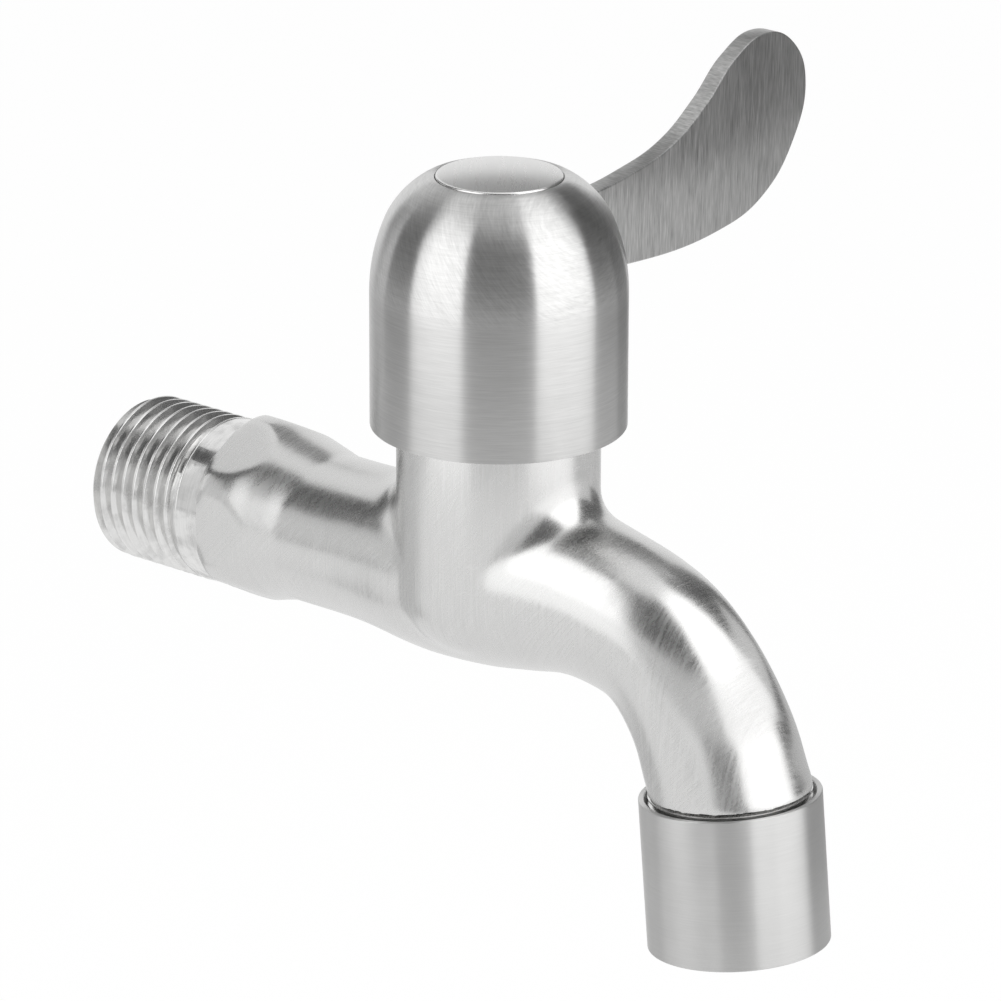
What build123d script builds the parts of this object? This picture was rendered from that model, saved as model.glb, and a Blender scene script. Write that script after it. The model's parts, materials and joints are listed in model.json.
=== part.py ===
from build123d import *
import math
import os

# Quarter-turn bib tap. Millimetres, +Z up.
# The origin is on the inlet's axis where a fitting screwed on to the thread stops,
# which is the wall's face. +X runs from the wall to the spout.

# Inlet: a parallel pipe thread, drawn as a plain cylinder at its crests
thread_radius = 10.4775
thread_pitch = 1.814
thread_turns = 7
thread_end_chamfer = 1.05
shank_radius = 10.3
shank_length = 4.3

# Cast hexagon, a little above the thread's axis, with a rounded shoulder towards the tube
hex_flats = 21.5
hex_corner_radius = 11.75
hex_length = 6.8
hex_lift = 0.4
hex_end_step = 0.9
shoulder_length = 4.3
shoulder_foot_radius = 10.1

# Tube, belly and spout along the waterway's middle line
valve_reach = 46.53
tube_radius = 9.65
belly_radius = 10.83
root_radius = 11.1
waist_radius = 9.15
tip_radius = 10.05
belly_start = 25.0
rise_arc_radius = 24.6
rise_angle = 11.7
crown_angle = 27.6
bend_arc_radius = 14.3
bend_angle = 28.6
fall_angle = 33.6

# Neck that holds the valve
neck_radius = 12.45
neck_height = 26.0
neck_foot_radius = 8.0
neck_foot_angle = 70
neck_blend = 5.0

# Outlet: shoulder of the spout, threaded spigot and the sleeve on it
outlet_reach = 36.55
outlet_drop = 17.77
outlet_lead = 0.28
outlet_lift = 0.092
outlet_tilt = 5.23
spigot_radius = 9.95
spigot_length = 10.2
spigot_groove_depth = 0.4
spigot_groove_width = 0.35
spigot_groove_pitch = 0.8
spigot_grooves = 2
sleeve_radius = 11.1
sleeve_length = 18.82
sleeve_gap = 0.65
sleeve_wall = 0.7
sleeve_mouth_depth = 1.6
sleeve_lip_height = 1.1
sleeve_lip_width = 1.6
sleeve_rounding = 0.25

# Waterway inside the body
inlet_bore_radius = 6.0
inlet_bore_stop = 12.0
link_radius = 4.2
link_drop = 1.7
link_overlap = 2.5
port_radius = 5.0
port_floor = 6.6
spout_bore_radius = 6.0
outlet_bore_radius = 6.8
gallery_radius = 4.5
gallery_reach = 7.0
gallery_rise = 9.8

# Valve chamber
seat_height = 4.0
chamber_radius = 9.6
chamber_top = 18.0
housing_thread_radius = 9.0

# Ceramic valve
seal_height = 2.8
seal_outer_radius = 6.3
seal_inner_radius = 4.7
disc_radius = 6.4
disc_height = 2.6
disc_film = 0.05
disc_port_radius = 3.7
disc_port_width = 2.6
disc_port_angle = 56
drive_slot_width = 2.4
drive_slot_depth = 1.2
drive_slot_span = 8.6

# Spindle
spindle_radius = 4.0
waist_of_spindle_radius = 3.0
window_height = 2.6
collar_radius = 6.3
collar_height = 2.2
washer_height = 0.6
groove_root_radius = 2.8
groove_width = 1.3
ring_thickness = 0.6
lower_groove_height = 20.6
groove_spacing = 4.2
clip_thickness = 0.8
clip_outer_radius = 5.4
clip_groove_radius = 3.2
spline_teeth = 20
spline_root_radius = 3.3
spline_length = 6.2
spline_lift = 1.0
spindle_hole_radius = 2.05
spindle_hole_depth = 10.0

# Valve housing
housing_gap = 1.0
housing_barrel_radius = 8.1
housing_cavity_radius = 6.6
window_width = 7.0
window_clearance = 0.6
gasket_height = 0.8
housing_hex_flats = 21.0
housing_hex_height = 5.0
housing_hex_chamfer = 0.8
housing_collar_radius = 7.4
housing_collar_height = 3.4

# Handle cap
cap_radius = 15.64
cap_height = 31.16
cap_foot = 20.27
cap_side_height = 16.7
cap_shoulder_radius = 23.0
cap_shoulder_angle = 23.6
cap_crown_radius = 10.6
cap_flat_radius = 9.29
cap_wall = 1.5
cap_foot_rounding = 0.3
cap_web = 2.6
boss_radius = 7.4
button_recess_radius = 7.8
button_recess_depth = 1.48
screw_pocket_radius = 6.2
bush_outer_radius = 5.6
spline_clearance = 0.06

# Lever blade
blade_thickness = 2.6
blade_reach = 57.8
blade_rise = 23.4
blade_foot = 35.4
blade_root_height = 10.4
blade_root_reach = 12.9

# Handle screw, its washer and the index button
screw_radius = 1.95
screw_length = 11.0
screw_head_radius = 3.5
screw_head_height = 2.2
screw_recess_width = 0.9
screw_recess_span = 3.4
screw_recess_depth = 1.2
screw_washer_radius = 3.8
screw_washer_height = 0.8
button_radius = 7.71
button_rim_height = 1.7
button_crown = 0.55
button_skirt_radius = 6.1
button_skirt_wall = 0.8
button_skirt_height = 2.4
button_rounding = 0.25

# Outlet insert
outlet_washer_height = 1.6
outlet_washer_bore = 7.2
cage_wall = 0.8
cage_ledge_width = 1.0
cage_clearance = 0.1
screen_height = 0.3
screen_hole_radius = 0.5
screen_pitch = 1.6
screen_rings = 4
core_height = 4.2
core_cell_radius = 1.1
core_cell_pitch = 2.2
core_rings = 3

fit = 0.05
over = 1.0


# Places worked out from the sizes above
valve_x = valve_reach
inlet_end = -thread_pitch * thread_turns
runout_end = thread_pitch
hex_start = runout_end + shank_length
hex_end = hex_start + hex_length
shoulder_end = hex_end + shoulder_length
outlet_direction = Vector(math.sin(math.radians(outlet_tilt)), 0, -math.cos(math.radians(outlet_tilt)))
shoulder_centre = Vector(valve_x + outlet_reach, 0, -outlet_drop)
sleeve_top = shoulder_centre + outlet_direction * sleeve_gap
spigot_end = spigot_length - sleeve_gap

valve_axis = Axis((valve_x, 0, 0), (0, 0, 1))
valve_section = Plane(origin=(valve_x, 0, 0), x_dir=(0, -1, 0), z_dir=(-1, 0, 0))
inlet_axis = Axis((0, 0, 0), (1, 0, 0))
hex_axis = Axis((0, 0, hex_lift), (1, 0, 0))
hex_section = Plane(origin=(0, 0, hex_lift), x_dir=(1, 0, 0), z_dir=(0, -1, 0))
outlet = Plane(origin=sleeve_top, x_dir=(0, 1, 0), z_dir=outlet_direction)
outlet_axis = Axis(sleeve_top, outlet_direction)
outlet_section = Plane(origin=sleeve_top, x_dir=(0, 1, 0), z_dir=outlet_direction.cross(Vector(0, -1, 0)))


# Solid turned from an outline of (radius, height) points
def turn(outline, section=valve_section, axis=valve_axis, mode=Mode.ADD):
    with BuildSketch(section) as profile:
        with BuildLine():
            Polyline(*outline, close=True)
        make_face()
    revolve(profile.sketch, axis=axis, mode=mode)


def save(piece, name):
    piece.part.label = name
    export_step(piece.part, f"parts/{name}.step")


os.makedirs("parts", exist_ok=True)

# Middle line of the waterway, seen from the side. The crown's and the fall's radii make it end at the outlet:
# one unit of radius takes an arc this far along and down
def arc_span(start_angle, end_angle):
    start, end = math.radians(start_angle), math.radians(end_angle)
    return math.sin(end) - math.sin(start), math.cos(start) - math.cos(end)


bend_start = crown_angle - rise_angle
fall_start = bend_start + bend_angle
crown_along, crown_down = arc_span(-rise_angle, bend_start)
bend_along, bend_down = arc_span(bend_start, fall_start)
fall_along, fall_down = arc_span(fall_start, fall_start + fall_angle)
climb_height = rise_arc_radius * arc_span(0, rise_angle)[1]
left_along = outlet_reach - outlet_lead - bend_arc_radius * bend_along
left_down = outlet_drop + outlet_lift + climb_height - bend_arc_radius * bend_down
spread = crown_along * fall_down - crown_down * fall_along
crown_arc_radius = (left_along * fall_down - left_down * fall_along) / spread
fall_arc_radius = (left_down * crown_along - left_along * crown_down) / spread
run_end = valve_x - rise_arc_radius * math.sin(math.radians(rise_angle))
with BuildLine(Plane.XZ) as waterway:
    run = Line((belly_start - over, 0), (run_end, 0))
    climb = JernArc(run @ 1, run % 1, rise_arc_radius, rise_angle)
    crown = JernArc(climb @ 1, climb % 1, crown_arc_radius, -crown_angle)
    bend = JernArc(crown @ 1, crown % 1, bend_arc_radius, -bend_angle)
    fall = JernArc(bend @ 1, bend % 1, fall_arc_radius, -fall_angle)

# Radius of the casting at shares of each stretch of that line
swell = belly_radius - tube_radius
root_taper = root_radius - waist_radius
tip_flare = tip_radius - waist_radius
run_swell_shares = ((0, 0), (0.04, 0), (0.25, 0.12), (0.45, 0.38), (0.66, 0.75), (0.85, 0.96), (1, 1))
crown_taper_shares = ((0, 1), (0.25, 0.99), (0.42, 0.8), (0.57, 0.49), (0.72, 0.25), (1, 0.07))
bend_taper_shares = ((0.5, 0.01), (1, 0.0))
fall_flare_shares = ((0.25, 0.13), (0.5, 0.33), (0.75, 0.6))
stations = [(run, where, tube_radius + swell * share) for where, share in run_swell_shares]
stations += [(crown, where, waist_radius + root_taper * share) for where, share in crown_taper_shares]
stations += [(bend, where, waist_radius + root_taper * share) for where, share in bend_taper_shares]
stations += [(fall, where, waist_radius + tip_flare * share) for where, share in fall_flare_shares]

# Hexagon for the spanner
with BuildPart() as hex_collar:
    with BuildSketch(Plane(origin=(hex_start, 0, hex_lift), x_dir=(0, 1, 0), z_dir=(1, 0, 0))):
        RegularPolygon(radius=hex_flats / 2, side_count=6, major_radius=False, rotation=30)
    extrude(amount=hex_length + shoulder_length)
    with BuildSketch(hex_section):
        with BuildLine():
            FilletPolyline(
                (hex_start, hex_flats / 2 - hex_end_step / 2),
                (hex_start + hex_end_step, hex_corner_radius),
                (hex_end - hex_end_step, hex_corner_radius),
                (hex_end + hex_end_step, hex_flats / 2 - hex_end_step / 2),
                (shoulder_end - hex_end_step, shoulder_foot_radius),
                (shoulder_end, tube_radius - hex_lift),
                radius=hex_end_step / 2,
            )
            Polyline((shoulder_end, tube_radius - hex_lift), (shoulder_end, 0), (hex_start, 0),
                     (hex_start, hex_flats / 2 - hex_end_step / 2))
        make_face()
    revolve(axis=hex_axis, mode=Mode.INTERSECT)

# Cast body: inlet, hexagon, tube, neck and spout in one piece
with BuildPart() as body:
    for stretch, where, radius in stations:
        heading = stretch % where
        with BuildSketch(Plane(origin=stretch @ where, x_dir=heading.cross(Vector(0, -1, 0)), z_dir=heading)):
            Circle(radius)
    with BuildSketch(Plane(origin=shoulder_centre, x_dir=outlet_direction.cross(Vector(0, -1, 0)),
                           z_dir=outlet_direction)):
        Circle(tip_radius)
    loft()

    # Threaded spigot, turned down from the end of the casting
    spout_end = body.faces().sort_by_distance(shoulder_centre)[0]
    extrude(spout_end, amount=spigot_length)
    with BuildSketch(outlet.offset(-sleeve_gap)):
        Circle(sleeve_radius)
        Circle(spigot_radius, mode=Mode.SUBTRACT)
    extrude(amount=spigot_length + over, mode=Mode.SUBTRACT)
    for groove in range(spigot_grooves):
        with BuildSketch(outlet.offset(spigot_groove_pitch * (groove + 0.5) - sleeve_gap)):
            Circle(sleeve_radius)
            Circle(spigot_radius - spigot_groove_depth, mode=Mode.SUBTRACT)
        extrude(amount=spigot_groove_width, mode=Mode.SUBTRACT)

    # Neck, blended into the spout and the tube
    with BuildSketch(valve_section):
        with BuildLine():
            side = Line((neck_radius, neck_height), (neck_radius, 0))
            foot = JernArc(side @ 1, (0, -1), neck_foot_radius, -neck_foot_angle)
            Polyline(foot @ 1, (0, (foot @ 1).Y), (0, neck_height), side @ 0)
        make_face()
    revolve(axis=valve_axis)
    saddle = [
        edge for edge in body.edges(Select.LAST)
        if edge.geom_type == GeomType.BSPLINE and abs(edge.center().X - valve_x) < neck_radius + over
    ]
    fillet(saddle, neck_blend)

    # Tube, hexagon, shank and thread
    with BuildSketch(Plane.YZ.offset(hex_end)):
        Circle(tube_radius)
    extrude(amount=belly_start - over - hex_end)
    add(hex_collar.part)
    turn(
        (
            (inlet_end, 0),
            (inlet_end, thread_radius - thread_end_chamfer),
            (inlet_end + thread_end_chamfer, thread_radius),
            (runout_end, thread_radius),
            (runout_end, shank_radius),
            (hex_start + over, shank_radius),
            (hex_start + over, 0),
        ),
        Plane.XZ,
        inlet_axis,
    )

    # Inlet waterway up to the seat
    with BuildSketch(Plane.YZ.offset(inlet_end)):
        Circle(inlet_bore_radius)
    extrude(amount=valve_x - inlet_bore_stop - inlet_end, mode=Mode.SUBTRACT)
    with BuildSketch(Plane(origin=(valve_x - inlet_bore_stop - link_overlap, 0, -link_drop),
                           x_dir=(0, 1, 0), z_dir=(1, 0, 0))):
        Circle(link_radius)
    extrude(amount=inlet_bore_stop + link_overlap, mode=Mode.SUBTRACT)
    turn(((0, -port_floor), (port_radius, -port_floor), (port_radius, seat_height + over),
          (0, seat_height + over)), mode=Mode.SUBTRACT)

    # Valve chamber with the thread for the housing
    turn(
        (
            (0, seat_height),
            (chamber_radius, seat_height),
            (chamber_radius, chamber_top),
            (housing_thread_radius, chamber_top + chamber_radius - housing_thread_radius),
            (housing_thread_radius, neck_height + over),
            (0, neck_height + over),
        ),
        mode=Mode.SUBTRACT,
    )

    # Spout waterway and the gallery that feeds it from the chamber
    with BuildLine(Plane.XZ) as spout_line:
        add(bend.edge())
        add(fall.edge())
    with BuildSketch(Plane(origin=crown @ 1, z_dir=crown % 1)):
        Circle(spout_bore_radius)
    sweep(path=spout_line.wire(), mode=Mode.SUBTRACT)
    with BuildSketch(outlet.offset(spigot_end)):
        Circle(outlet_bore_radius)
    extrude(amount=-(spigot_length + 2 * over), mode=Mode.SUBTRACT)
    gallery_start = Vector(valve_x + gallery_reach, 0, gallery_rise)
    gallery_way = (crown @ 1) - gallery_start
    with BuildSketch(Plane(origin=gallery_start, z_dir=gallery_way.normalized())):
        Circle(gallery_radius)
    extrude(amount=gallery_way.length + over, mode=Mode.SUBTRACT)
save(body, "body")

# Heights of the stack inside the neck, each from the one below it
seal_top = seat_height + seal_height
fixed_top = seal_top + disc_height
moving_foot = fixed_top + disc_film
moving_top = moving_foot + disc_height
collar_foot = moving_top + window_height
collar_top = collar_foot + collar_height
washer_foot = collar_top + disc_film
cavity_top = washer_foot + washer_height
housing_foot = seat_height + housing_gap
gasket_top = neck_height + gasket_height
housing_hex_top = gasket_top + housing_hex_height
housing_top = housing_hex_top + housing_collar_height
clip_foot = housing_top + disc_film
clip_top = clip_foot + clip_thickness
spline_foot = clip_top + spline_lift
spindle_top = spline_foot + spline_length
web_foot = spindle_top + spline_lift / 2
web_top = web_foot + cap_web
cap_top = cap_foot + cap_height
bush_foot = spline_foot + spline_lift / 2

# Seat seal, a rubber ring between the seat and the lower disc
with BuildPart() as seat_seal:
    with BuildSketch(Plane.XY.offset(seat_height)):
        with Locations((valve_x, 0)):
            Circle(seal_outer_radius)
            Circle(seal_inner_radius, mode=Mode.SUBTRACT)
    extrude(amount=seal_height)
save(seat_seal, "seat_seal")


# One ceramic disc: a flat plate with two curved ports on opposite sides
def ported_disc(foot):
    with BuildPart() as disc:
        with BuildSketch(Plane(origin=(valve_x, 0, foot))):
            Circle(disc_radius)
            for side in (0, 180):
                middle = CenterArc((0, 0), disc_port_radius, side - disc_port_angle / 2, disc_port_angle,
                                   mode=Mode.PRIVATE)
                SlotArc(middle, disc_port_width, mode=Mode.SUBTRACT)
        extrude(amount=disc_height)
    return disc


fixed_disc = ported_disc(seal_top)
save(fixed_disc, "fixed_disc")

# The moving disc also has a slot across its top for the spindle's tongue
plain_moving_disc = ported_disc(moving_foot)
with BuildPart() as moving_disc:
    add(plain_moving_disc.part)
    with BuildSketch(Plane(origin=(valve_x, 0, moving_top))):
        SlotOverall(drive_slot_span, drive_slot_width, rotation=90)
    extrude(amount=-drive_slot_depth, mode=Mode.SUBTRACT)
save(moving_disc, "moving_disc")


# Outline of a ring of straight-sided splines on a circle
def spline_outline(root, tip, teeth, gap):
    step = 360 / teeth
    corners = []
    for tooth in range(teeth):
        for turned, radius in ((-0.32, root), (-0.16, tip), (0.16, tip), (0.32, root)):
            swing = math.radians(step * (tooth + turned))
            corners.append(((radius + gap) * math.cos(swing), (radius + gap) * math.sin(swing)))
    return corners


# Spindle: tongue, waist, thrust collar, grooved shaft and splined head
lower_groove_top = lower_groove_height + groove_width
upper_groove_height = lower_groove_height + groove_spacing
upper_groove_top = upper_groove_height + groove_width
with BuildPart() as spindle:
    turn(
        (
            (0, moving_top + disc_film),
            (waist_of_spindle_radius, moving_top + disc_film),
            (waist_of_spindle_radius, collar_foot),
            (collar_radius, collar_foot),
            (collar_radius, collar_top),
            (spindle_radius, collar_top),
            (spindle_radius, lower_groove_height),
            (groove_root_radius, lower_groove_height),
            (groove_root_radius, lower_groove_top),
            (spindle_radius, lower_groove_top),
            (spindle_radius, upper_groove_height),
            (groove_root_radius, upper_groove_height),
            (groove_root_radius, upper_groove_top),
            (spindle_radius, upper_groove_top),
            (spindle_radius, clip_foot),
            (clip_groove_radius, clip_foot),
            (clip_groove_radius, clip_top),
            (spindle_radius, clip_top),
            (spindle_radius, spline_foot),
            (0, spline_foot),
        )
    )
    with BuildSketch(Plane(origin=(valve_x, 0, spline_foot))):
        with BuildLine():
            Polyline(*spline_outline(spline_root_radius, spindle_radius, spline_teeth, 0), close=True)
        make_face()
    extrude(amount=spline_length)
    with BuildSketch(Plane(origin=(valve_x, 0, spindle_top))):
        Circle(spindle_hole_radius)
    extrude(amount=-spindle_hole_depth, mode=Mode.SUBTRACT)
    with BuildSketch(Plane(origin=(valve_x, 0, moving_top + disc_film))):
        SlotOverall(drive_slot_span - 2 * fit, drive_slot_width - 2 * fit, rotation=90)
    extrude(amount=-drive_slot_depth, mode=Mode.ADD)
save(spindle, "spindle")


# O-rings pressed to the shape of their grooves
def spindle_ring(foot):
    middle_radius = groove_root_radius + ring_thickness
    with BuildPart() as ring:
        with BuildSketch(valve_section):
            with Locations((middle_radius, foot + groove_width / 2)):
                Circle(ring_thickness)
        revolve(axis=valve_axis)
    return ring


save(spindle_ring(lower_groove_height), "lower_spindle_ring")
save(spindle_ring(upper_groove_height), "upper_spindle_ring")

# Thrust washer between the collar and the housing's shoulder
with BuildPart() as thrust_washer:
    with BuildSketch(Plane(origin=(valve_x, 0, washer_foot))):
        Circle(collar_radius)
        Circle(spindle_radius + fit, mode=Mode.SUBTRACT)
    extrude(amount=washer_height)
save(thrust_washer, "thrust_washer")

# Brass housing screwed into the neck, with a hexagon head and two side windows
with BuildPart() as valve_housing:
    turn(
        (
            (housing_cavity_radius, housing_foot),
            (housing_barrel_radius, housing_foot),
            (housing_barrel_radius, chamber_top),
            (housing_thread_radius - fit, chamber_top + housing_thread_radius - housing_barrel_radius),
            (housing_thread_radius - fit, gasket_top),
            (spindle_radius + fit, gasket_top),
            (spindle_radius + fit, cavity_top),
            (housing_cavity_radius, cavity_top),
        )
    )
    with BuildSketch(Plane(origin=(valve_x, 0, gasket_top))):
        RegularPolygon(radius=housing_hex_flats / 2, side_count=6, major_radius=False)
        Circle(spindle_radius + fit, mode=Mode.SUBTRACT)
    extrude(amount=housing_hex_height)
    top_edges = valve_housing.faces().sort_by(Axis.Z)[-1].outer_wire().edges()
    chamfer(top_edges, housing_hex_chamfer)
    with BuildSketch(Plane(origin=(valve_x, 0, housing_hex_top))):
        Circle(housing_collar_radius)
        Circle(spindle_radius + fit, mode=Mode.SUBTRACT)
    extrude(amount=housing_collar_height)
    window_foot = moving_top + window_clearance
    with BuildSketch(Plane(origin=(valve_x, 0, window_foot))):
        Rectangle(2 * (housing_barrel_radius + over), window_width)
        Circle(housing_cavity_radius - over, mode=Mode.SUBTRACT)
    extrude(amount=collar_top - window_foot, mode=Mode.SUBTRACT)
save(valve_housing, "valve_housing")

# Gasket between the housing's head and the neck
with BuildPart() as bonnet_gasket:
    with BuildSketch(Plane(origin=(valve_x, 0, neck_height))):
        Circle(housing_hex_flats / 2)
        Circle(housing_thread_radius, mode=Mode.SUBTRACT)
    extrude(amount=gasket_height)
save(bonnet_gasket, "bonnet_gasket")

# Retaining ring, open on one side
with BuildPart() as retaining_ring:
    with BuildSketch(Plane(origin=(valve_x, 0, clip_foot))):
        Circle(clip_outer_radius)
        Circle(clip_groove_radius, mode=Mode.SUBTRACT)
        with Locations((-clip_outer_radius, 0)):
            Rectangle(2 * clip_outer_radius, clip_groove_radius, mode=Mode.SUBTRACT)
    extrude(amount=clip_thickness)
save(retaining_ring, "retaining_ring")

# Lever blade: a plate whose root is a straight tab, with shares of its reach and of its rise
blade_outline_shares = (
    (0.402, 0.475),
    (0.552, 0.564),
    (0.656, 0.718),
    (0.754, 0.914),
    (0.857, 1.0),
    (0.957, 0.893),
    (1.0, 0.658),
    (0.957, 0.342),
    (0.857, 0.099),
    (0.7, -0.013),
)
blade_face = Plane(origin=(valve_x - blade_thickness / 2, 0, 0), x_dir=(0, 1, 0), z_dir=(1, 0, 0))
tab_top = blade_foot + blade_root_height
tab_end = cap_radius + fit
with BuildPart() as lever_blade:
    with BuildSketch(blade_face):
        with BuildLine():
            rim = [(blade_reach * along, blade_foot + blade_rise * up) for along, up in blade_outline_shares]
            Spline((tab_end, tab_top), *rim, tangents=((1, 0), (-1, 0)))
            Polyline(rim[-1], (tab_end, blade_foot), (blade_root_reach, blade_foot), (blade_root_reach, tab_top),
                     (tab_end, tab_top))
        make_face()
    extrude(amount=blade_thickness)
save(lever_blade, "lever_blade")

# Handle cap: turned dome, hollow from below, with a boss for the splined bush
side_top = cap_foot + cap_side_height
with BuildPart() as handle_cap:
    with BuildSketch(valve_section):
        with BuildLine():
            wall = Line((cap_radius, cap_foot), (cap_radius, side_top))
            cap_shoulder = JernArc(wall @ 1, (0, 1), cap_shoulder_radius, cap_shoulder_angle)
            RadiusArc(cap_shoulder @ 1, (cap_flat_radius, cap_top), -cap_crown_radius)
            Polyline((cap_flat_radius, cap_top), (0, cap_top), (0, cap_foot), wall @ 0)
        make_face()
    revolve(axis=valve_axis)
    inner_radius = cap_radius - cap_wall
    roof = web_foot + spline_lift / 2
    with BuildSketch(valve_section):
        with BuildLine():
            inner_wall = Line((inner_radius, cap_foot - over), (inner_radius, side_top))
            inner_shoulder = JernArc(inner_wall @ 1, (0, 1), cap_shoulder_radius - cap_wall, cap_shoulder_angle)
            Polyline(inner_shoulder @ 1, (boss_radius + cap_wall, roof), (boss_radius, roof),
                     (boss_radius, bush_foot), (0, bush_foot), (0, cap_foot - over), inner_wall @ 0)
        make_face()
    revolve(axis=valve_axis, mode=Mode.SUBTRACT)
    turn(
        (
            (0, web_top),
            (screw_pocket_radius, web_top),
            (screw_pocket_radius, cap_top - button_recess_depth),
            (button_recess_radius, cap_top - button_recess_depth),
            (button_recess_radius, cap_top + over),
            (0, cap_top + over),
        ),
        mode=Mode.SUBTRACT,
    )
    turn(
        (
            (0, bush_foot - over),
            (bush_outer_radius, bush_foot - over),
            (bush_outer_radius, web_foot),
            (0, web_foot),
        ),
        mode=Mode.SUBTRACT,
    )
    with BuildSketch(Plane(origin=(valve_x, 0, web_foot - over))):
        Circle(screw_radius + 4 * fit)
    extrude(amount=cap_web + 2 * over, mode=Mode.SUBTRACT)
    with BuildSketch(blade_face):
        with BuildLine():
            Polyline((blade_root_reach, blade_foot), (tab_end, blade_foot), (tab_end, tab_top),
                     (blade_root_reach, tab_top), close=True)
        make_face()
    extrude(amount=blade_thickness, mode=Mode.SUBTRACT)
    rim_edges = handle_cap.faces().sort_by(Axis.Z)[0].outer_wire().edges()
    fillet(rim_edges, cap_foot_rounding)
save(handle_cap, "handle_cap")

# Splined bush pressed into the cap's boss
with BuildPart() as spline_bush:
    with BuildSketch(Plane(origin=(valve_x, 0, bush_foot))):
        Circle(bush_outer_radius)
        with BuildLine(mode=Mode.PRIVATE) as teeth_line:
            Polyline(*spline_outline(spline_root_radius, spindle_radius, spline_teeth, spline_clearance),
                     close=True)
        make_face(teeth_line.edges(), mode=Mode.SUBTRACT)
    extrude(amount=spline_length)
save(spline_bush, "spline_bush")

# Spring washer and pan-head screw that hold the cap on the spindle
with BuildPart() as screw_washer:
    with BuildSketch(Plane(origin=(valve_x, 0, web_top))):
        Circle(screw_washer_radius)
        Circle(screw_radius + 2 * fit, mode=Mode.SUBTRACT)
    extrude(amount=screw_washer_height)
save(screw_washer, "screw_washer")

head_foot = web_top + screw_washer_height
head_top = head_foot + screw_head_height
with BuildPart() as handle_screw:
    with BuildSketch(Plane(origin=(valve_x, 0, head_foot))):
        Circle(screw_head_radius)
    extrude(amount=screw_head_height)
    fillet(handle_screw.faces().sort_by(Axis.Z)[-1].edges(), screw_head_height / 2)
    with BuildSketch(Plane(origin=(valve_x, 0, head_foot))):
        Circle(screw_radius)
    extrude(amount=-screw_length)
    with BuildSketch(Plane(origin=(valve_x, 0, head_top))):
        Rectangle(screw_recess_span, screw_recess_width)
        Rectangle(screw_recess_width, screw_recess_span)
    extrude(amount=-screw_recess_depth, mode=Mode.SUBTRACT)
save(handle_screw, "handle_screw")

# Index button: slightly domed cover with a skirt that grips the screw pocket
button_foot = cap_top - button_recess_depth
with BuildPart() as index_button:
    with BuildSketch(valve_section):
        with BuildLine():
            Polyline(
                (0, button_foot),
                (button_skirt_radius - button_skirt_wall, button_foot),
                (button_skirt_radius - button_skirt_wall, button_foot - button_skirt_height),
                (button_skirt_radius, button_foot - button_skirt_height),
                (button_skirt_radius, button_foot),
                (button_radius, button_foot),
                (button_radius, button_foot + button_rim_height),
            )
            crown_top = (0, button_foot + button_rim_height + button_crown)
            TangentArc(crown_top, (button_radius, button_foot + button_rim_height), tangent=(1, 0))
            Line(crown_top, (0, button_foot))
        make_face()
    revolve(axis=valve_axis)
    rims = [edge for edge in index_button.edges() if edge.geom_type == GeomType.CIRCLE and edge.is_closed]
    fillet(ShapeList(rims).sort_by(Axis.Z)[-1], button_rounding)
save(index_button, "index_button")

# Outlet sleeve screwed on to the spigot, thin at the top and lipped at the bottom
with BuildPart() as outlet_sleeve:
    turn(
        (
            (sleeve_radius - sleeve_wall, 0),
            (sleeve_radius, 0),
            (sleeve_radius, sleeve_length),
            (sleeve_radius - sleeve_wall - sleeve_lip_width, sleeve_length),
            (sleeve_radius - sleeve_wall - sleeve_lip_width, sleeve_length - sleeve_lip_height),
            (spigot_radius + fit, sleeve_length - sleeve_lip_height),
            (spigot_radius + fit, sleeve_mouth_depth),
            (sleeve_radius - sleeve_wall, sleeve_mouth_depth),
        ),
        outlet_section,
        outlet_axis,
    )
    circles = outlet_sleeve.edges().filter_by(GeomType.CIRCLE)
    outer_rims = [edge for edge in circles if abs(edge.radius - sleeve_radius) < fit]
    fillet(outer_rims, sleeve_rounding)
save(outlet_sleeve, "outlet_sleeve")

# Rubber washer on the end of the spout
washer_bottom = spigot_end + outlet_washer_height
with BuildPart() as outlet_washer:
    with BuildSketch(outlet.offset(spigot_end)):
        Circle(spigot_radius)
        Circle(outlet_washer_bore, mode=Mode.SUBTRACT)
    extrude(amount=outlet_washer_height)
save(outlet_washer, "outlet_washer")

# Cage of the outlet insert: flange at the top, wall and a ledge for the core
cage_radius = sleeve_radius - sleeve_wall - sleeve_lip_width - cage_clearance
cage_bottom = sleeve_length - sleeve_lip_height
with BuildPart() as insert_cage:
    turn(
        (
            (cage_radius - cage_wall, washer_bottom),
            (spigot_radius, washer_bottom),
            (spigot_radius, cage_bottom),
            (cage_radius, cage_bottom),
            (cage_radius, sleeve_length - sleeve_lip_height / 2),
            (cage_radius - cage_wall - cage_ledge_width / 2, sleeve_length - sleeve_lip_height / 2),
            (cage_radius - cage_wall - cage_ledge_width / 2, cage_bottom),
            (cage_radius - cage_wall, cage_bottom),
        ),
        outlet_section,
        outlet_axis,
    )
save(insert_cage, "insert_cage")


# Places of a hexagonal pattern, ring by ring, from its pitch
def hexagonal_places(rings, pitch):
    places = []
    for row in range(-rings, rings + 1):
        for column in range(-rings, rings + 1):
            if abs(row + column) <= rings:
                places.append((pitch * (column + row / 2), pitch * row * math.sqrt(3) / 2))
    return places


# Honeycomb core that straightens the jet
core_radius = cage_radius - cage_wall - fit
with BuildPart() as flow_straightener:
    with BuildSketch(outlet.offset(cage_bottom - core_height)):
        Circle(core_radius)
        with Locations(*hexagonal_places(core_rings, core_cell_pitch)):
            RegularPolygon(core_cell_radius, 6, rotation=30, mode=Mode.SUBTRACT)
    extrude(amount=core_height)
save(flow_straightener, "flow_straightener")

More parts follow.
